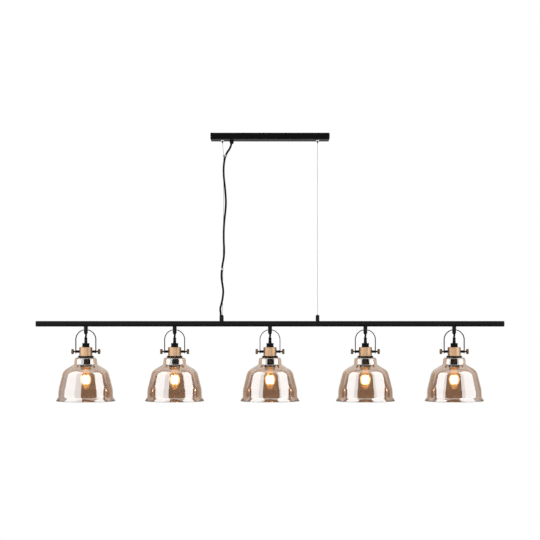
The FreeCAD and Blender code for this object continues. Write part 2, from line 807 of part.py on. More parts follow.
os.makedirs("parts", exist_ok=True)
save("canopy_cover", canopy_cover())
save("ceiling_bracket", ceiling_bracket())
save("canopy_screws", *canopy_screws())
save("terminal_block", terminal_block())
save("cable_gland", *cable_gland())
save("wire_anchors", *wire_anchors())
left_wire_path = cord_path("left wire", left_wire_route)
supply_path = cord_path("supply cable", cable_route)
save("suspension_wire_left", round_cord(left_wire_path, wire_radius))
save("suspension_wire_right", round_cord(cord_path("right wire", right_wire_route), wire_radius))
save("supply_cable", round_cord(supply_path, cable_radius))
save("cable_ties", *cable_ties(supply_path, left_wire_path))

save("bar_tube", bar_tube())
save("end_caps", *end_caps())
save("wire_grips", *wire_grips())
save("hanger_stems", *at_heads(hanger_stem()), *at_heads(stem_nut()))
save("head_cords", *at_heads(head_cord()))

head_nodes = {
    "bail": [bail()],
    "shade": [glass_shade()],
    "shade_rings": shade_rings(),
    "collar": [collar()],
    "head_fittings": head_fittings(),
    "lampholder": [lampholder()],
    "lamp": lamp(),
    "knob_left": [pivot_knob(-1)],
    "knob_right": [pivot_knob(1)],
}
for number, x in enumerate(head_positions, start=1):
    for name, solids in head_nodes.items():
        placed = [solid.translated(vector(x, 0, 0)) for solid in solids]
        save(name + "_" + str(number), *placed)
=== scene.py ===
import math
import bpy
from mathutils import Matrix, Vector


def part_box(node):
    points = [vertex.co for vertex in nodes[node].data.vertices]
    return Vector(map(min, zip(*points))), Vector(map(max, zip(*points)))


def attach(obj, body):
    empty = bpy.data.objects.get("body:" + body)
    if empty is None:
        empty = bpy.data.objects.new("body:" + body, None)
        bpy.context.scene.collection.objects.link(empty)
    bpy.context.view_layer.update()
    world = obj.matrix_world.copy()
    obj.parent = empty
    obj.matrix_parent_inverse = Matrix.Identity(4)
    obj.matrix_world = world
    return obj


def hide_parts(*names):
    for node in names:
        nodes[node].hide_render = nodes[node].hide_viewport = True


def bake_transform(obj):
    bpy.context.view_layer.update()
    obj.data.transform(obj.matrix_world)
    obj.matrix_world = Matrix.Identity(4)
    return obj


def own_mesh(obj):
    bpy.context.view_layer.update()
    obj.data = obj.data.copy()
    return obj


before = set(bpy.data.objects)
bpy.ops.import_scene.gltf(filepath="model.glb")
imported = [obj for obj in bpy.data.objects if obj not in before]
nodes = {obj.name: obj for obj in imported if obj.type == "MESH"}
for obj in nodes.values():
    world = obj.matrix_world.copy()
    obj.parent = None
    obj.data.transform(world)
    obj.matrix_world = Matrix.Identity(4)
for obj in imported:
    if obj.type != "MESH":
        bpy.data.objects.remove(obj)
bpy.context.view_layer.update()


# ---------------------------------------------------------------- camera
# The photograph is taken level, from about 6.5 m in front of the bar and just above it: the
# canopy's underside shows, and the shades are seen a little from above.  The picture covers
# 1.733 m at the bar, and the lens is shifted up to centre the light.
picture_width = 1.733
picture_middle = -0.4363
camera_distance = 6.5
camera_height = -0.56

camera_data = bpy.data.cameras.new("camera")
camera_data.lens = camera_data.sensor_width * camera_distance / picture_width
camera_data.shift_y = (picture_middle - camera_height) / picture_width
camera = bpy.data.objects.new("camera", camera_data)
bpy.context.scene.collection.objects.link(camera)
camera.location = (0, -camera_distance, camera_height)
camera.rotation_euler = (math.radians(90), 0, 0)
bpy.context.scene.camera = camera
bpy.context.scene.view_settings.view_transform = "Standard"


# ---------------------------------------------------------------- studio
# A white room, with a pale floor that fades into the background and takes the object's shadow.
# Two large softboxes stand in front, left and right of the camera.  Glass and metal mirror them;
# they don't show through the glass, where only the white room does.
class Signal:
    """One output of a shader node.  Arithmetic on it adds Math nodes to the same tree."""

    def __init__(self, recipe, socket):
        self.recipe = recipe
        self.socket = socket

    def math(self, operation, first, second):
        return self.recipe.node("Math", {"operation": operation}, {0: first, 1: second})

    def __add__(self, other):
        return self.math("ADD", self, other)

    __radd__ = __add__

    def __sub__(self, other):
        return self.math("SUBTRACT", self, other)

    def __rsub__(self, other):
        return self.math("SUBTRACT", other, self)

    def __mul__(self, other):
        return self.math("MULTIPLY", self, other)

    __rmul__ = __mul__

    def at_least(self, other):
        return self.math("MAXIMUM", self, other)

    def between(self, low, high):
        """0 below low, 1 above high, and a smooth rise between them."""
        return self.recipe.node("MapRange", {"interpolation_type": "SMOOTHSTEP"},
                                {"Value": self, "From Min": low, "From Max": high})

    def part(self, axis):
        """The X, Y or Z part of a place."""
        return self.recipe.node("SeparateXYZ", {}, {0: self}, "XYZ".index(axis))

    def stretched(self, sizes):
        """A place with each of its parts multiplied."""
        return self.recipe.node("VectorMath", {"operation": "MULTIPLY"}, {0: self, 1: sizes})


class Recipe:
    """The node tree of a material or of the world, emptied, and one method that adds any node."""

    def __init__(self, owner):
        self.owner = owner
        owner.use_nodes = True
        self.tree = owner.node_tree
        self.tree.nodes.clear()

    def node(self, kind, settings, inputs, output=0):
        """Adds a node, with its settings first and then its sockets' values or links."""
        added = self.tree.nodes.new("ShaderNode" + kind)
        for name, value in settings.items():
            setattr(added, name, value)
        for name, value in inputs.items():
            socket = added.inputs[name]
            if isinstance(value, Signal):
                self.tree.links.new(value.socket, socket)
            elif socket.type == "RGBA":
                socket.default_value = (*value, 1)
            else:
                socket.default_value = value
        return Signal(self, added.outputs[output]) if len(added.outputs) else None

    def place(self):
        """The point's place in its object, in metres."""
        return self.node("TexCoord", {}, {}, "Object")

    def noise(self, place, scale, detail=2.0):
        return self.node("TexNoise", {}, {"Vector": place, "Scale": scale, "Detail": detail})

    def mix(self, factor, first, second):
        """A colour between two colours."""
        return self.node("Mix", {"data_type": "RGBA"}, {0: factor, 6: first, 7: second}, 2)

    def blend(self, factor, first, second):
        """A shader between two shaders."""
        return self.node("MixShader", {}, {0: factor, 1: first, 2: second})

    def bump(self, height, depth=0.00003):
        """A normal from a height of 0 to 1, with the depth in metres."""
        return self.node("Bump", {}, {"Height": height, "Distance": depth})

    def principled(self, **sockets):
        named = {name.replace("_", " "): value for name, value in sockets.items()}
        return self.node("BsdfPrincipled", {}, named)

    def show(self, surface):
        """Puts a shader on the material or the world, which it returns."""
        kind = "OutputWorld" if isinstance(self.owner, bpy.types.World) else "OutputMaterial"
        self.node(kind, {}, {"Surface": surface})
        return self.owner

    def seen_directly(self):
        """1 for what the camera, a mirror or glass shows, and 0 for what only lights others."""
        shown = self.node("LightPath", {}, {}, "Is Camera Ray")
        shown = shown.at_least(self.node("LightPath", {}, {}, "Is Glossy Ray"))
        return shown.at_least(self.node("LightPath", {}, {}, "Is Transmission Ray"))


def material(name):
    return Recipe(bpy.data.materials.new(name))


def new_object(name, data):
    made = bpy.data.objects.new(name, data)
    bpy.context.scene.collection.objects.link(made)
    return made


def mesh_of(name, vertices, faces, finish):
    mesh = bpy.data.meshes.new(name)
    mesh.from_pydata(vertices, [], faces)
    mesh.materials.append(finish)
    mesh.polygons.foreach_set("use_smooth", [True] * len(mesh.polygons))
    mesh.update()
    return mesh


white = (1.0, 1.0, 1.0)
room_fill = 0.22            # what the room's walls send to matt surfaces
room = Recipe(bpy.data.worlds.new("white_room"))
fill_light = room.node("Background", {}, {"Color": white, "Strength": room_fill})
backdrop = room.node("Background", {}, {"Color": white, "Strength": 1.0})
bpy.context.scene.world = room.show(room.blend(room.seen_directly(), fill_light, backdrop))

floor_height = -1.9
floor_reach = 7.0
fade_start = 1.3            # from here outward the floor turns into the background
fade_end = 2.6
paper = material("studio_floor")
place = paper.place()
distance = paper.node("VectorMath", {"operation": "LENGTH"}, {0: place}, "Value")
cloudy = paper.noise(place, 3.0)
matt = paper.principled(
    Base_Color=paper.mix(cloudy, (0.86, 0.86, 0.86), (0.90, 0.90, 0.90)), Roughness=0.9)
glow = paper.node("Emission", {}, {"Color": white, "Strength": 1.0})
faded = distance.between(fade_start, fade_end) * paper.seen_directly()
floor_paper = paper.show(paper.blend(faded, matt, glow))
corners = [(x * floor_reach, y * floor_reach, 0) for x, y in ((-1, -1), (1, -1), (1, 1), (-1, 1))]
floor = new_object("studio_floor", mesh_of("studio_floor", corners, [(0, 1, 2, 3)], floor_paper))
floor.location = (0, 0, floor_height)


def studio_lamp(name, width, height, radiance, middle, facing):
    """A rectangular lamp, hidden from the camera, that doesn't show through glass."""
    data = bpy.data.lights.new(name, "AREA")
    data.shape = "RECTANGLE"
    data.size = width
    data.size_y = height
    data.energy = radiance * math.pi * width * height
    lamp = new_object(name, data)
    lamp.location = middle
    lamp.rotation_euler = facing.to_track_quat("-Z", "Y").to_euler()
    lamp.visible_camera = False
    lamp.visible_transmission = False
    return lamp


softbox_radiance = 2.65
softbox_colour = (0.92, 0.975, 1.0)
softbox_foot = -1.15
softbox_top = 2.4
# each softbox stands between two upright edges, given in plan: near the camera, and at the side
softboxes = {"left_softbox": ((-1.10, -1.90), (-2.60, 0.18)),
             "right_softbox": ((1.50, -1.73), (2.60, 0.24))}
for name, edges in softboxes.items():
    near, far = [Vector((x, y, (softbox_foot + softbox_top) / 2)) for x, y in edges]
    middle = (near + far) / 2
    facing = (far - near).cross(Vector((0, 0, 1))).normalized()
    if facing.dot(middle) > 0:
        facing = -facing
    softbox = studio_lamp(name, (far - near).length, softbox_top - softbox_foot,
                          softbox_radiance, middle, facing)
    softbox.data.color = softbox_colour

# A bright panel stands in front, behind a dark card.  The card casts no shadow, so the panel
# fills the middle of the brushed metal, while a clear mirror shows the card.  Matt surfaces get
# nothing from either.
panel_radiance = 9.0
panel_width = 2.2
panel_height = 2.0
panel_middle = (0, -3.6, -0.2)
panel = studio_lamp("front_panel", panel_width, panel_height, panel_radiance, panel_middle,
                    Vector((0, 1, 0)))
panel.visible_diffuse = False


def mirrored_sheet(name, start, end, top, finish):
    """An upright sheet on the floor between two places in plan, which only gloss shows."""
    corners = [(*start, floor_height), (*end, floor_height), (*end, top), (*start, top)]
    sheet = new_object(name, mesh_of(name, corners, [(0, 1, 2, 3)], finish))
    sheet.visible_camera = False
    sheet.visible_diffuse = False
    sheet.visible_transmission = False
    sheet.visible_shadow = False


card_distance = 3.0
card_reach = 3.4
card_top = 4.2
card = material("dark_card")
felt = card.noise(card.place(), 40.0)
card_felt = card.show(card.principled(
    Base_Color=card.mix(felt, (0.03, 0.025, 0.02), (0.05, 0.045, 0.04)), Roughness=1.0))
mirrored_sheet("dark_card", (-card_reach, -card_distance), (card_reach, -card_distance), card_top,
               card_felt)

# Two beige flats stand behind the object, one each side; the edges of the glass mirror them.
flat_near = (3.2, 2.0)
flat_far = (1.1, 3.6)
flat_top = 0.9
flat = material("beige_flat")
weave = flat.noise(flat.place(), 30.0)
flat_cloth = flat.show(flat.principled(
    Base_Color=(0.0, 0.0, 0.0), Roughness=1.0, Specular_IOR_Level=0.0,
    Emission_Color=flat.mix(weave, (0.62, 0.50, 0.40), (0.70, 0.58, 0.48)),
    Emission_Strength=1.0))
for side, name in ((-1, "left_flat"), (1, "right_flat")):
    start, end = [(side * x, y) for x, y in (flat_near, flat_far)]
    mirrored_sheet(name, start, end, flat_top, flat_cloth)


# ---------------------------------------------------------------- canopy
# The cover is a folded steel tray with a black powder coating: a fine satin skin with a faint
# orange peel and soft clouds.  It screws to the bracket inside it.
def powder_coat(name, colour, roughness, gloss):
    """Black powder coating on steel, with an orange peel of about 1 mm."""
    coat = material(name)
    place = coat.place()
    peel = coat.noise(place, 900.0, 3.0)
    cloud = coat.noise(place, 14.0)
    paler = tuple(1.6 * part + 0.0014 for part in colour)
    return coat.show(coat.principled(
        Base_Color=coat.mix(cloud * 0.5 + peel * 0.3, colour, paler),
        Roughness=roughness + 0.10 * (cloud - 0.5),
        Specular_IOR_Level=gloss,
        Normal=coat.bump(peel)))


def dress(node, finish):
    """Gives a CAD node its finish."""
    for slot in nodes[node].material_slots:
        slot.material = finish


dress("canopy_cover",
      powder_coat("canopy_black", (0.0010, 0.0010, 0.0009), roughness=0.50, gloss=0.025))


# ---------------------------------------------------------------- ceiling bracket
# A zinc-plated steel strip that the ceiling screws hold, with a folded tab at each end.
# The plating has pale and dark crystals and fine rolling lines along the strip.
zinc = material("bracket_zinc")
place = zinc.place()
patch = zinc.node("TexVoronoi", {}, {"Vector": place, "Scale": 160.0}, "Color").part("X")
rolling = zinc.noise(place.stretched((20.0, 900.0, 900.0)), 1.0)
dress("ceiling_bracket", zinc.show(zinc.principled(
    Base_Color=zinc.mix(patch, (0.30, 0.31, 0.32), (0.42, 0.42, 0.41)),
    Metallic=1.0,
    Roughness=0.50 + 0.16 * patch,
    Specular_Tint=(0.45, 0.46, 0.47),
    Normal=zinc.bump(rolling, 0.00004))))


# ---------------------------------------------------------------- canopy screws
# Two slotted pan-head machine screws, turned from steel, that hold the cover to the bracket's
# tabs.  Turning leaves fine lines round them.
def turned_metal(name, colour, darker, roughness, axis):
    """Bare turned metal, with fine cutting lines that run round the named axis."""
    bare = material(name)
    place = bare.place()
    lines = tuple(2500.0 if letter == axis else 0.0 for letter in "XYZ")
    cuts = bare.noise(place.stretched(lines), 1.0)
    tarnish = bare.noise(place, 260.0, 4.0)
    return bare.show(bare.principled(
        Base_Color=bare.mix(tarnish.between(0.35, 0.75), colour, darker),
        Metallic=1.0,
        Roughness=roughness + 0.18 * tarnish,
        Normal=bare.bump(cuts)))


dress("canopy_screws", turned_metal("screw_steel", (0.60, 0.59, 0.57), (0.40, 0.39, 0.38),
                                    roughness=0.22, axis="X"))


# ---------------------------------------------------------------- terminal block
# White moulded nylon, with a clamp barrel for each conductor.  Each barrel takes two small brass
# screws from below; they are separate small pieces, sunk in their wells.
def moulded(name, colour, roughness, gloss=0.5):
    """Moulded plastic: an even colour with a faint clouding and a fine spark-eroded skin."""
    plastic = material(name)
    place = plastic.place()
    skin = plastic.noise(place, 1400.0, 3.0)
    cloud = plastic.noise(place, 60.0)
    darker = tuple(0.82 * part for part in colour)
    return plastic.show(plastic.principled(
        Base_Color=plastic.mix(cloud, colour, darker),
        Roughness=roughness + 0.12 * (skin - 0.5),
        Specular_IOR_Level=gloss,
        Normal=plastic.bump(skin)))


def lathe(name, outline, finish, steps, closed=False, flutes=None):
    """Mesh turned about Z from (radius, height) points; flutes = (count, depth, low, high)."""
    turns = sum(a[0] * b[1] - b[0] * a[1] for a, b in zip(outline, outline[1:] + outline[:1]))
    if turns < 0:
        outline = outline[::-1]
    vertices = []
    rings = []
    for radius, height in outline:
        if radius < 1e-7:       # on the axis
            rings.append([len(vertices)])
            vertices.append((0.0, 0.0, height))
            continue
        ring = []
        for step in range(steps):
            angle = 2 * math.pi * step / steps
            reach = radius
            if flutes and flutes[2] < height < flutes[3]:
                reach -= flutes[1] * (0.5 + 0.5 * math.cos(flutes[0] * angle))
            ring.append(len(vertices))
            vertices.append((reach * math.cos(angle), reach * math.sin(angle), height))
        rings.append(ring)
    faces = []
    pairs = list(zip(rings, rings[1:]))
    if closed:
        pairs.append((rings[-1], rings[0]))
    for lower, upper in pairs:
        for step in range(steps):
            after = (step + 1) % steps
            if len(lower) == 1 and len(upper) == 1:
                continue
            if len(lower) == 1:
                faces.append((lower[0], upper[after], upper[step]))
            elif len(upper) == 1:
                faces.append((lower[step], lower[after], upper[0]))
            else:
                faces.append((lower[step], lower[after], upper[after], upper[step]))
    return mesh_of(name, vertices, faces, finish)


def rounded(corners, steps):
    """(radius, height) points along straight runs joined by fillets (radius, height, fillet)."""
    points = [Vector(corner[:2]) for corner in corners]
    line = []
    for i, corner in enumerate(points):
        fillet = corners[i][2] if len(corners[i]) > 2 else 0.0
        if fillet == 0.0 or i == 0 or i == len(points) - 1:
            line.append(tuple(corner))
            continue
        arrive = (corner - points[i - 1]).normalized()
        leave = (points[i + 1] - corner).normalized()
        half_turn = arrive.angle(leave) / 2
        centre = corner + (leave - arrive).normalized() * (fillet / math.cos(half_turn))
        start = corner - arrive * (fillet * math.tan(half_turn)) - centre
        turn = 2 * half_turn * (1 if arrive.cross(leave) > 0 else -1)
        for step in range(steps + 1):
            spoke = start.copy()
            spoke.rotate(Matrix.Rotation(turn * step / steps, 2))
            line.append(tuple(centre + spoke))
    return line


def gathered(name, parts, finish):
    """One mesh from (vertices, faces) pairs."""
    vertices = []
    faces = []
    for more_vertices, more_faces in parts:
        first = len(vertices)
        vertices += more_vertices
        faces += [tuple(first + i for i in face) for face in more_faces]
    return mesh_of(name, vertices, faces, finish)


def joined(name, pieces, finish):
    """One mesh from (mesh, placing matrix) pairs."""
    return gathered(name, [([tuple(placing @ vertex.co) for vertex in mesh.vertices],
                            [tuple(face.vertices) for face in mesh.polygons])
                           for mesh, placing in pieces], finish)


dress("terminal_block", moulded("terminal_white", (0.72, 0.71, 0.67), roughness=0.42))
terminal_low, terminal_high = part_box("terminal_block")
barrel_count = 3
barrel_pitch = (terminal_high.x - terminal_low.x) / barrel_count
screw_row = (terminal_high.y - terminal_low.y) / 4
screw_radius = 0.00147
screw_height = 0.0014
screw_sunk = 0.0022
brass = turned_metal("terminal_brass", (0.62, 0.46, 0.22), (0.45, 0.31, 0.14),
                     roughness=0.28, axis="Z")
screw_head = lathe("terminal_screw_head", rounded(
    [(0, 0.0), (screw_radius, 0.0, 0.0002), (screw_radius, -0.0012, 0.0003),
     (0.0005, -screw_height), (0.0004, -0.0009), (0, -0.0009)], 3), brass, steps=20)
screw_heads = []
for barrel in range(barrel_count):
    for side in (-1, 1):
        screw_place = Vector((terminal_low.x + (barrel + 0.5) * barrel_pitch, side * screw_row,
                              terminal_low.z + screw_sunk + screw_height))
        screw_heads.append((screw_head, Matrix.Translation(screw_place)))
terminal_screws = new_object("terminal_screws", joined("terminal_screws", screw_heads, brass))
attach(terminal_screws, "root")


# ---------------------------------------------------------------- cable gland
# Black nylon gland through the canopy's underside.  Its cap has fine grip ribs, which are a
# ring of their own round the plain cap of the solid.
gland_black = moulded("gland_black", (0.004, 0.004, 0.004), roughness=0.48, gloss=0.08)
dress("cable_gland", gland_black)
gland_low, gland_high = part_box("cable_gland")
rib_count = 24
rib_depth = 0.00035
rib_inner = 0.0057
rib_shoulder = 0.0060
rib_outer = 0.00635
rib_foot = -0.0303
rib_top = -0.0250
rib_outline = rounded(
    [(rib_inner, rib_top), (rib_shoulder, rib_top), (rib_outer, rib_top - 0.0006, 0.0003),
     (rib_outer, rib_foot + 0.0006, 0.0003), (rib_shoulder, rib_foot), (rib_inner, rib_foot)], 3)
gland_ribs = new_object("gland_ribs", lathe(
    "gland_ribs", rib_outline, gland_black, steps=4 * rib_count, closed=True,
    flutes=(rib_count, rib_depth, rib_foot + 0.0004, rib_top - 0.0004)))
gland_ribs.location = ((gland_low.x + gland_high.x) / 2, 0, 0)
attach(gland_ribs, "root")


# ---------------------------------------------------------------- wire anchors
# Nickel-plated brass holders screwed through the canopy.  The flange shines; the conical nose
# that lets the wire through is blackened.
nose_top = -0.0224
flange_foot = -0.0220
anchor = material("anchor_nickel")
place = anchor.place()
nose = 1.0 - place.part("Z").between(nose_top, flange_foot)
cuts = anchor.noise(place.stretched((0.0, 0.0, 3000.0)), 1.0)
smear = anchor.noise(place, 400.0, 3.0)
nickel_plate = anchor.mix(smear, (0.70, 0.67, 0.62), (0.52, 0.49, 0.45))
dress("wire_anchors", anchor.show(anchor.principled(
    Base_Color=anchor.mix(nose, nickel_plate, (0.015, 0.015, 0.016)),
    Metallic=1.0 - nose,
    Roughness=0.20 + 0.15 * smear + 0.15 * nose,
    Normal=anchor.bump(cuts))))


# ---------------------------------------------------------------- suspension wires
# Stainless steel rope, 1.5 mm thick: six outer strands laid round a core.  Each wire hangs taut
# from its anchor to its grip.  The cable's upper tie draws the left one a little sideways.
def smooth_route(name, points):
    """Points of the smooth curve that the route's points control."""
    data = bpy.data.curves.new(name, "CURVE")
    data.dimensions = "3D"
    data.resolution_u = 14
    spline = data.splines.new("NURBS")
    spline.points.add(len(points) - 1)
    for control, point in zip(spline.points, points):
        control.co = (*point, 1)
    spline.order_u = 3
    spline.use_endpoint_u = True
    curve = new_object(name, data)
    bpy.context.view_layer.update()
    mesh = bpy.data.meshes.new_from_object(curve)
    line = [vertex.co.copy() for vertex in mesh.vertices]
    bpy.data.objects.remove(curve)
    bpy.data.curves.remove(data)
    return line


def stations(line, spacing):
    """(place, tangent, side) at even steps along a line, with sides that don't twist."""
    lengths = [(b - a).length for a, b in zip(line, line[1:])]
    total = sum(lengths)
    steps = max(2, round(total / spacing))
    found = []
    run = 0
    passed = 0.0
    side = Vector((0, 1, 0))
    for step in range(steps + 1):
        wanted = total * step / steps
        while run < len(lengths) - 1 and passed + lengths[run] < wanted:
            passed += lengths[run]
            run += 1
        ahead = line[run + 1] - line[run]
        place = line[run] + ahead * min(1.0, (wanted - passed) / lengths[run])
        tangent = ahead.normalized()
        side = (side - tangent * side.dot(tangent)).normalized()
        found.append((place, tangent, side.copy()))
    return found


def tube(line_stations, radius, sides):
    """Vertices and faces of a closed round tube along stations."""
    vertices = []
    for place, tangent, side in line_stations:
        up = tangent.cross(side)
        for corner in range(sides):
            angle = 2 * math.pi * corner / sides
            vertices.append(tuple(place + radius * (math.cos(angle) * side + math.sin(angle) * up)))
    faces = [tuple(range(sides))[::-1], tuple(range(len(vertices) - sides, len(vertices)))]
    for i in range(len(line_stations) - 1):
        for corner in range(sides):
            after = (corner + 1) % sides
            low = i * sides
            faces.append((low + corner, low + after, low + sides + after, low + sides + corner))
    return vertices, faces


strand_count = 6
strand_share = 0.40         # a strand's radius, as a share of the rope's
strand_sides = 6
lay_length = 0.011          # along the rope, for one turn of a strand
rope_spacing = 0.0011


def rope(name, line, radius, finish):
    """Strands laid round a core strand."""
    strand_radius = radius * strand_share
    strand_reach = radius - strand_radius
    core = stations(line, rope_spacing)
    strands = [core]
    for strand in range(strand_count):
        wound = []
        walked = 0.0
        last = core[0][0]
        for place, tangent, side in core:
            walked += (place - last).length
            last = place
            angle = 2 * math.pi * (walked / lay_length + strand / strand_count)
            up = tangent.cross(side)
            spoke = math.cos(angle) * side + math.sin(angle) * up
            ahead = tangent + tangent.cross(spoke) * (2 * math.pi * strand_reach / lay_length)
            wound.append((place + spoke * strand_reach, ahead.normalized(), spoke))
        strands.append(wound)
    tubes = [tube(strand, strand_radius, strand_sides) for strand in strands]
    return new_object(name, gathered(name, tubes, finish))


wire_route_left = [
    (-0.1525, 0, -0.011), (-0.1525, 0, -0.038), (-0.1475, 0, -0.069),
    (-0.1525, 0, -0.574), (-0.1525, 0, -0.589)]
wire_route_right = [(0.1525, 0, -0.011), (0.1525, 0, -0.589)]
wire_diameter = 0.0015
bar_travel = 0.3
wire_steel = turned_metal("wire_steel", (0.26, 0.255, 0.25), (0.17, 0.17, 0.165),
                          roughness=0.36, axis="Z")
wires = {}
for side, route in (("left", wire_route_left), ("right", wire_route_right)):
    line = smooth_route("wire_route_" + side, route)
    wire = rope("wire_rope_" + side, line, wire_diameter / 2, wire_steel)
    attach(wire, "root")
    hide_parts("suspension_wire_" + side)
    1 - bar_travel / (route[0][2] - route[-1][2])
    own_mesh(wire)
    wires[side] = line


# ---------------------------------------------------------------- supply cable
# Round black PVC flex, 6.4 mm thick.  It leaves the gland, waves down beside the left wire and
# enters the left grip.  The jacket is satin, with faint handling marks.
cable_route = [
    (-0.1230, 0, -0.0170), (-0.1230, 0, -0.0390), (-0.1416, -0.0012, -0.0640),
    (-0.1480, -0.0044, -0.0930), (-0.1494, -0.0054, -0.1280), (-0.1434, -0.0056, -0.1800),
    (-0.1404, -0.0056, -0.2280), (-0.1474, -0.0056, -0.2840), (-0.1490, -0.0056, -0.3360),
    (-0.1458, -0.0056, -0.3860), (-0.1542, -0.0052, -0.4280), (-0.1564, -0.0052, -0.4620),
    (-0.1496, -0.0056, -0.4980), (-0.1504, -0.0054, -0.5180), (-0.1548, -0.0042, -0.5430),
    (-0.1605, -0.0016, -0.5600), (-0.1580, 0, -0.5750), (-0.1580, 0, -0.5890)]
cable_diameter = 0.0064
cable_sides = 20
jacket = material("cable_black")
place = jacket.place()
mould = jacket.noise(place.stretched((1.0, 1.0, 0.25)), 1600.0)
handling = jacket.noise(place, 90.0, 4.0)
cable_finish = jacket.show(jacket.principled(
    Base_Color=jacket.mix(handling, (0.0015, 0.0015, 0.0015), (0.005, 0.005, 0.005)),
    Roughness=0.48 + 0.20 * handling,
    Specular_IOR_Level=0.05,
    Normal=jacket.bump(mould, 0.00004)))


def flex_mesh(name, line, spacing):
    """Round flex along a line."""
    return mesh_of(name, *tube(stations(line, spacing), cable_diameter / 2, cable_sides),
                   cable_finish)


cable_line = smooth_route("cable_route", cable_route)
cable = new_object("supply_flex", flex_mesh("supply_flex", cable_line, 0.003))
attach(cable, "root")
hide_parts("supply_cable")
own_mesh(cable)


# ---------------------------------------------------------------- cable ties
# Two clear moulded clips hold the flex to the left wire.  Each is a sleeve round the flex, a
# small sleeve round the wire and, where these stand apart, a web between them.
def at_height(line, height):
    """The place and direction of a line where it passes a height."""
    for a, b in zip(line, line[1:]):
        if min(a.z, b.z) <= height <= max(a.z, b.z):
            share = (height - a.z) / (b.z - a.z)
            return a.lerp(b, share), (a - b).normalized()
    raise ValueError("the line never passes that height")


tie_heights = [-0.070, -0.433]
tie_height = 0.006
tie_wall = 0.0012
tie_play = 0.0002
web_thickness = tie_wall
web_height = 0.84 * tie_height
clear = material("tie_clear")
place = clear.place()
flow = clear.noise(place, 500.0)
tie_finish = clear.show(clear.principled(
    Base_Color=clear.mix(flow, (0.86, 0.88, 0.88), (0.78, 0.80, 0.80)),
    Roughness=0.22 + 0.1 * flow,
    Transmission_Weight=0.75,
    IOR=1.49,
    Normal=clear.bump(flow, 0.00008)))
for number, height in enumerate(tie_heights, start=1):
    cable_at, cable_way = at_height(cable_line, height)
    wire_at, wire_way = at_height(wires["left"], height)
    cable_hole = cable_diameter / 2 + tie_play
    wire_hole = wire_diameter / 2 + tie_play
    clip = []
    for place, way, hole in ((cable_at, cable_way, cable_hole), (wire_at, wire_way, wire_hole)):
        sleeve = lathe("sleeve", rounded(
            [(hole, -tie_height / 2), (hole + tie_wall, -tie_height / 2, 0.0004),
             (hole + tie_wall, tie_height / 2, 0.0004), (hole, tie_height / 2)], 3),
            tie_finish, steps=40, closed=True)
        turn = Vector((0, 0, 1)).rotation_difference(way)
        clip.append((sleeve, Matrix.Translation(place) @ turn.to_matrix().to_4x4()))
    across = wire_at - cable_at
    web_start = cable_hole + tie_wall / 2
    web_end = across.length - wire_hole - tie_wall / 2
    if web_end > web_start:
        web_corners = [(x, y * web_thickness / 2, z * web_height / 2)
                       for x in (web_start, web_end) for y in (-1, 1) for z in (-1, 1)]
        web = mesh_of("web", web_corners, [(0, 1, 3, 2), (4, 6, 7, 5), (0, 4, 5, 1), (2, 3, 7, 6),
                                           (0, 2, 6, 4), (1, 5, 7, 3)], tie_finish)
        turn = Vector((1, 0, 0)).rotation_difference(across.normalized())
        clip.append((web, Matrix.Translation(cable_at) @ turn.to_matrix().to_4x4()))
    tie = new_object("cable_tie_" + str(number), joined("cable_tie", clip, tie_finish))
    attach(tie, "root")
    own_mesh(tie)
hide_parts("cable_ties")


# ---------------------------------------------------------------- bar
# One long round steel tube, powder coated black, pierced for the stems and the grips.  A turned
# plug closes each end.  The grips on it and the stems under it have the same coating.
bar_black = powder_coat("bar_black", (0.0034, 0.0034, 0.0032), roughness=0.46, gloss=0.07)
for node in ("bar_tube", "end_caps", "wire_grips", "hanger_stems"):
    dress(node, bar_black)


# ---------------------------------------------------------------- grip screws
# Each wire grip is locked by a small blackened socket screw in its front.  The screw's head
# stands just proud of the grip, with a round recess for the key.
black_oxide = turned_metal("black_oxide", (0.022, 0.021, 0.020), (0.010, 0.010, 0.010),
                           roughness=0.40, axis="Z")
socket_screw = lathe("socket_screw", rounded(
    [(0, -0.0012), (0.0017, -0.0012), (0.0017, 0.0002, 0.0002), (0.0009, 0.0003),
     (0.0009, -0.0008), (0, -0.0008)], 3), black_oxide, steps=24)
grip_middle = (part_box("wire_grips")[1].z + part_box("bar_tube")[1].z) / 2
grips = (("left", -0.1554, 0.00675), ("right", 0.1525, 0.006))      # side, place, radius
for side, x, radius in grips:
    screw = new_object("grip_screw_" + side, socket_screw)
    screw.location = (x, -radius, grip_middle)
    screw.rotation_euler = (math.radians(90), 0, 0)
    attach(screw, "bar")


# ---------------------------------------------------------------- bails
# Under each stem a flat steel strap, bent to an inverted U, carries a lamp head.  Its satin black
# paint is rubbed paler in places, and fine lines from rolling show through.
heads = {}                  # each head's place along the bar, by the ending of its pieces' names
for number in range(1, 6):
    low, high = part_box("shade_" + str(number))
    heads["_" + str(number)] = (low.x + high.x) / 2
paint = material("bail_steel")
place = paint.place()
rolled = paint.noise(place.stretched((900.0, 40.0, 60.0)), 1.0)
rubbed = paint.noise(place, 120.0, 4.0).between(0.55, 0.85)
bail_finish = paint.show(paint.principled(
    Base_Color=paint.mix(rubbed, (0.003, 0.003, 0.003), (0.012, 0.011, 0.010)),
    Roughness=0.46 + 0.15 * rolled,
    Specular_IOR_Level=0.07,
    Normal=paint.bump(rolled)))
for tag in heads:
    dress("bail" + tag, bail_finish)


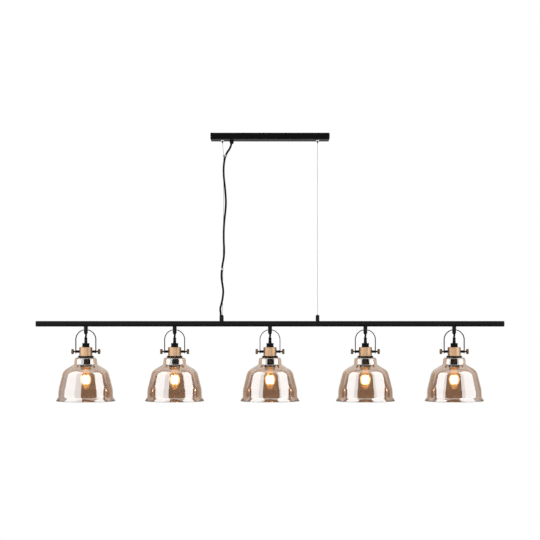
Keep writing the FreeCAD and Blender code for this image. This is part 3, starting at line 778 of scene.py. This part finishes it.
# ---------------------------------------------------------------- head cords
# A short piece of the same flex runs from each stem's nut down into the head's cord grip.  It
# lies in a slight wave.
nut_mouth = -0.6423
grip_mouth = -0.6535
held_length = 0.004         # inside the nut, and inside the cord grip
for tag, x in heads.items():
    flex_line = smooth_route("flex_route", [
        (x, 0, nut_mouth + held_length), (x, 0, nut_mouth), (x + 0.0008, 0, -0.6465),
        (x - 0.0004, 0, -0.6505), (x, 0, grip_mouth - 0.001), (x, 0, grip_mouth - held_length)])
    flex = new_object("head_flex" + tag, flex_mesh("head_flex", flex_line, 0.0008))
    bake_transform(flex)
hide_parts("head_cords")


# ---------------------------------------------------------------- head fittings
# The cord grip on its grooved nut closes the collar's top, and a bush on each side keeps the
# collar between the bail's legs.  All are satin black.
ring_black = moulded("ring_black", (0.003, 0.003, 0.003), roughness=0.50, gloss=0.06)
for tag in heads:
    dress("head_fittings" + tag, ring_black)


# ---------------------------------------------------------------- collars
# A collar is a cup turned from brass, brushed while it spins and lacquered to a rose-gold tone.
# The brushing leaves fine rings, so its highlights stretch into upright bands.
collar = material("brushed_brass")
place = collar.place()
brushed = collar.noise(place.stretched((12.0, 12.0, 5200.0)), 1.0, 4.0)
worn = collar.noise(place, 110.0, 3.0)
collar_finish = collar.show(collar.principled(
    Base_Color=collar.mix(brushed * 0.6 + worn * 0.3, (0.45, 0.29, 0.178), (0.32, 0.20, 0.118)),
    Metallic=1.0,
    Roughness=0.46 + 0.14 * worn,
    Anisotropic=0.5,
    Anisotropic_Rotation=0.25,
    Normal=collar.bump(brushed)))
for tag in heads:
    dress("collar" + tag, collar_finish)


# ---------------------------------------------------------------- thumb screws
# The pivots are brass thumb screws with a knurled head, aged dark in patches.  The plain neck
# bears on the bail's leg and the shank goes on through the bush into the collar.
knob = material("knob_brass")
place = knob.place()
patina = knob.noise(place, 240.0, 4.0)
polish = knob.noise(place.stretched((1.0, 1.0, 2600.0)), 1.0)
knob_brass = knob.show(knob.principled(
    Base_Color=knob.mix(patina.between(0.3, 0.75), (0.17, 0.105, 0.062), (0.040, 0.026, 0.016)),
    Metallic=1.0,
    Roughness=0.34 + 0.22 * patina,
    Specular_Tint=(0.45, 0.38, 0.30),
    Normal=knob.bump(polish)))
pivot_height = -0.698
shank_tip = 0.0160          # heights along the screw, from the collar's middle outward
leg_face = 0.0334
head_face = 0.0389
head_end = 0.0465
shank_radius = 0.0020
neck_radius = 0.0027
knob_radius = 0.0082
flute_count = 30
flute_depth = 0.0005
knob_outline = rounded(
    [(0, shank_tip), (shank_radius, shank_tip, 0.0005), (shank_radius, leg_face),
     (neck_radius, leg_face, 0.0002), (neck_radius, head_face), (0.0070, head_face, 0.0004),
     (knob_radius, head_face + 0.0014, 0.0006), (knob_radius, (head_face + head_end) / 2, 0.0001),
     (knob_radius, head_end - 0.0014, 0.0006), (0.0066, head_end, 0.0006),
     (0.0050, head_end, 0.0002), (0.0046, head_end - 0.0005, 0.0002), (0, head_end - 0.0006)], 4)
thumb_screw = lathe("thumb_screw", knob_outline, knob_brass, steps=6 * flute_count,
                    flutes=(flute_count, flute_depth, head_face + 0.0009, head_end - 0.0009))
for tag, x in heads.items():
    for side, turn in (("left", -90), ("right", 90)):
        screw = new_object("thumb_screw_" + side + tag, thumb_screw)
        screw.location = (x, 0, pivot_height)
        screw.rotation_euler = (0, math.radians(turn), 0)
        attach(screw, "knob_" + side + tag)
        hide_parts("knob_" + side + tag)


# ---------------------------------------------------------------- lampholders
# Black phenolic lampholder with a rounded skirt at its mouth.  Its barrel hangs from the collar
# and carries the glass between two rings.  It is glossier than these, with a brownish cast.
holder_black = moulded("holder_black", (0.012, 0.007, 0.004), roughness=0.46, gloss=0.08)
for tag in heads:
    dress("lampholder" + tag, holder_black)


# ---------------------------------------------------------------- shade rings
# A ring lies on the glass, and a clamp ring is screwed up the barrel under it.  Both have the
# satin black of the head fittings.
for tag in heads:
    dress("shade_rings" + tag, ring_black)


# ---------------------------------------------------------------- glass shades
# Blown bells of smoked amber glass with an even wall, a flared rim and a rolled lip.  A thin
# metal layer on the outside makes them part mirrors: they show the softboxes, and what is
# behind shows through in brown.
def moved_in(line, wall):
    """An outline that runs down or outward, moved towards its inside by the wall."""
    inner = []
    for i, point in enumerate(line):
        before = Vector(line[max(i - 1, 0)])
        after = Vector(line[min(i + 1, len(line) - 1)])
        along = (after - before).normalized()
        place = Vector(point) + Vector((along.y, -along.x)) * wall
        inner.append((max(place.x, 0.0), place.y))
    return inner


glass_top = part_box("shade_3")[1].z
glass_wall = 0.0025
glass_steps = 160           # round the bell
fillet_steps = 14
lip_steps = 8
bell_corners = [(0.0152, 0.0), (0.0352, 0.0, 0.0070), (0.0372, -0.0220, 0.0050),
                (0.0719, -0.0428, 0.0300), (0.0873, -0.1040, 0.0800),
                (0.0876, -0.1265, 0.0080), (0.0950, -0.1380)]
outer_line = rounded(bell_corners, fillet_steps)
inner_line = moved_in(outer_line, glass_wall)
lip_middle = (Vector(outer_line[-1]) + Vector(inner_line[-1])) / 2
lip_line = []
for step in range(1, lip_steps):
    spoke = Vector(outer_line[-1]) - lip_middle
    spoke.rotate(Matrix.Rotation(-math.pi * step / lip_steps, 2))
    lip_line.append(tuple(lip_middle + spoke))

mirror_share = 0.20
sag_depth = 0.0003


def smoked_glass(name, mirrored):
    """Brown glass, with the thin metal layer on top where it is wanted."""
    glass = material(name)
    place = glass.place()
    sag = glass.noise(place.stretched((1.0, 1.0, 0.5)), 18.0)
    paler = place.part("Z").between(-0.075, -0.040)
    surface = glass.principled(
        Base_Color=glass.mix(paler, (0.545, 0.39, 0.285), (0.71, 0.54, 0.405)),
        Roughness=0.0,
        IOR=1.5,
        Transmission_Weight=1.0,
        Normal=glass.bump(sag, sag_depth))
    if mirrored:
        coating = glass.principled(
            Base_Color=glass.mix(sag, (0.94, 0.955, 0.965), (0.90, 0.915, 0.925)),
            Metallic=1.0,
            Roughness=0.0,
            Specular_Tint=(0.62, 0.48, 0.36),
            Normal=glass.bump(sag, sag_depth))
        surface = glass.blend(mirror_share, surface, coating)
    lets_light_through = glass.node("BsdfTransparent", {}, {"Color": (0.62, 0.50, 0.42)})
    shadow_ray = glass.node("LightPath", {}, {}, "Is Shadow Ray")
    return glass.show(glass.blend(shadow_ray, surface, lets_light_through))


outside_glass = smoked_glass("amber_glass", mirrored=True)
inside_glass = smoked_glass("amber_glass_inside", mirrored=False)
bell_mesh = lathe("shade_bell", inner_line + lip_line[::-1] + outer_line[::-1], outside_glass,
                  glass_steps, closed=True)
bell_mesh.materials.append(inside_glass)
inside_faces = glass_steps * (len(inner_line) + len(lip_line) // 2)
bell_mesh.polygons.foreach_set(
    "material_index", [1 if i < inside_faces else 0 for i in range(len(bell_mesh.polygons))])
for number, (tag, x) in enumerate(heads.items(), start=1):
    bell = new_object("shade_bell" + tag, bell_mesh)
    bell.location = (x, 0, glass_top)
    bell.rotation_euler = (0, 0, math.radians(90 * number))
    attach(bell, "head" + tag)
    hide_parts("shade" + tag)


# ---------------------------------------------------------------- lamps
# Candle-shaped filament lamps with a small screw cap.  The clear envelope is faintly amber; its
# glow is painted light, a painted amber halo in its lower part and a painted white core where it
# faces the viewer.  Inside, a glass stem carries a cage of eight glowing sticks on fine wires.
holder_mouth = -0.748       # a lamp's heights are measured from here
lamp_radius = 0.0175
lamp_drop = 0.0715
lamp_neck = 0.0074
envelope_wall = 0.0007
envelope_outer = rounded([
    (lamp_neck, -0.0010), (lamp_neck, -0.0046, 0.010), (lamp_radius * 1.022, -0.0361, 0.024),
    (lamp_radius * 0.96, -0.0487, 0.034), (lamp_radius * 0.36, -lamp_drop, 0.006),
    (0.0, -lamp_drop)], fillet_steps)
envelope_inner = moved_in(envelope_outer, envelope_wall)
envelope_inner[-1] = (0.0, -lamp_drop + envelope_wall)

clear_glass = material("lamp_glass")
place = clear_glass.place()
up = place.part("Z")
swirl = clear_glass.noise(place, 60.0)
# The envelope's emission is painted light: a painted amber halo in its lower band.
facing = 1.0 - clear_glass.node("LayerWeight", {}, {}, "Facing")
painted_glow_band = up.between(-0.0715, -0.060) * (1.0 - up.between(-0.034, -0.010))
painted_core_band = up.between(-0.0575, -0.0510) * (1.0 - up.between(-0.036, -0.024))
# core is a painted white glow in that band, where the glass faces the viewer.
core = facing.between(0.45, 0.95) * painted_core_band
halo = clear_glass.mix(core, (0.25, 0.155, 0.045), (1.3, 1.12, 0.86))
lamp_glass = clear_glass.show(clear_glass.principled(
    Base_Color=clear_glass.mix(swirl, (0.98, 0.93, 0.84), (0.97, 0.90, 0.78)),
    Roughness=0.0,
    IOR=1.3,
    Transmission_Weight=1.0,
    Emission_Color=clear_glass.mix(painted_glow_band, (0.14, 0.07, 0.02), halo),
    Emission_Strength=1.0))
envelope = lathe("lamp_envelope", envelope_outer + envelope_inner[::-1], lamp_glass,
                 steps=64, closed=True)

pressed_glass = material("lamp_stem_glass")
bubble = pressed_glass.noise(pressed_glass.place(), 900.0)
stem_glass = pressed_glass.show(pressed_glass.principled(
    Base_Color=pressed_glass.mix(bubble, (0.99, 0.96, 0.90), (0.95, 0.90, 0.82)),
    Roughness=0.02,
    IOR=1.5,
    Transmission_Weight=1.0))
stem = lathe("lamp_stem", rounded(
    [(0, -0.0008), (0.0052, -0.0008, 0.0006), (0.0030, -0.0060, 0.004), (0.0014, -0.0130, 0.002),
     (0.0012, -0.0180, 0.0008), (0, -0.0186)], 5), stem_glass, steps=28)

filament = material("lamp_filament")
dots = filament.node("TexWave", {"bands_direction": "Z"},
                     {"Vector": filament.place(), "Scale": 260.0})
filament_glow = filament.show(filament.principled(
    Base_Color=(0.9, 0.6, 0.2),
    Roughness=0.5,
    Emission_Color=filament.mix(dots, (1.0, 0.76, 0.46), (1.0, 0.86, 0.60)),
    Emission_Strength=16.0))
fine_wire = material("lamp_wire")
dull = fine_wire.noise(fine_wire.place(), 2000.0)
lamp_wire = fine_wire.show(fine_wire.principled(
    Base_Color=fine_wire.mix(dull, (0.55, 0.45, 0.35), (0.35, 0.28, 0.22)),
    Metallic=1.0,
    Roughness=0.35))

stick_count = 8
stick_radius = 0.0012
stick_top = -0.0270
stick_foot = -0.0535
stick_bow = ((0.0076, stick_top), (0.0128, -0.0400), (0.0070, stick_foot))  # radius, height
cage_wire_radius = 0.00022
hub_radius = 0.0010
hub_height = -0.0175
cage_foot = Vector((0, 0, stick_foot - 0.0015))
sticks = []
cage = []
for i in range(stick_count):
    turn = 2 * math.pi * i / stick_count
    out = Vector((math.cos(turn), math.sin(turn), 0))
    bowed = smooth_route("stick_route", [tuple(out * r + Vector((0, 0, z))) for r, z in stick_bow])
    sticks.append(tube(stations(bowed, 0.0015), stick_radius, 10))
    hub = out * hub_radius + Vector((0, 0, hub_height))
    for run in ([hub, bowed[0]], [bowed[-1], cage_foot]):
        cage.append(tube(stations(run, 0.001), cage_wire_radius, 6))
filaments = gathered("lamp_filaments", sticks, filament_glow)
cage_wires = gathered("lamp_cage_wires", cage, lamp_wire)

# The cap is rolled from thin nickel-plated sheet, thread and all.  It narrows to a small contact
# at its top.
cap_radius = 0.0070
thread_depth = 0.0005
thread_pitch = 0.0028
thread_low = 0.0022
thread_high = 0.0175
thread_levels = 96
thread_sides = 48
vertices = []
faces = []
for level in range(thread_levels + 1):
    z = thread_low + (thread_high - thread_low) * level / thread_levels
    for step in range(thread_sides):
        angle = 2 * math.pi * step / thread_sides
        wave = math.cos(2 * math.pi * z / thread_pitch - angle)
        radius = cap_radius - thread_depth * (0.5 - 0.5 * wave)
        vertices.append((radius * math.cos(angle), radius * math.sin(angle), z))
for level in range(thread_levels):
    for step in range(thread_sides):
        after = (step + 1) % thread_sides
        low = level * thread_sides
        high = low + thread_sides
        faces.append((low + step, low + after, high + after, high + step))
nickel = turned_metal("cap_nickel", (0.68, 0.64, 0.58), (0.50, 0.46, 0.40),
                      roughness=0.24, axis="Z")
thread = mesh_of("thread", vertices, faces, nickel)
cap_foot = lathe("cap_foot", [
    (0.0066, 0.0002), (0.0068, 0.0008), (cap_radius - 0.0002, thread_low)], nickel, thread_sides)
cap_top = lathe("cap_top", rounded(
    [(cap_radius - 0.0004, thread_high), (0.0064, thread_high + 0.0014, 0.0006), (0.0032, 0.0205),
     (0.0030, 0.0218, 0.0006), (0.0, 0.0219)], 4), nickel, thread_sides)
unmoved = Matrix.Identity(4)
screw_cap = joined("lamp_cap", [(piece, unmoved) for piece in (thread, cap_foot, cap_top)], nickel)

lamp_parts = {"lamp_envelope": envelope, "lamp_stem": stem, "lamp_filaments": filaments,
              "lamp_cage_wires": cage_wires, "lamp_cap": screw_cap}
for tag, x in heads.items():
    for name, mesh in lamp_parts.items():
        piece = new_object(name + tag, mesh)
        piece.location = (x, 0, holder_mouth)
        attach(piece, "head" + tag)
        if name == "lamp_envelope":
            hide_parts("lamp" + tag)
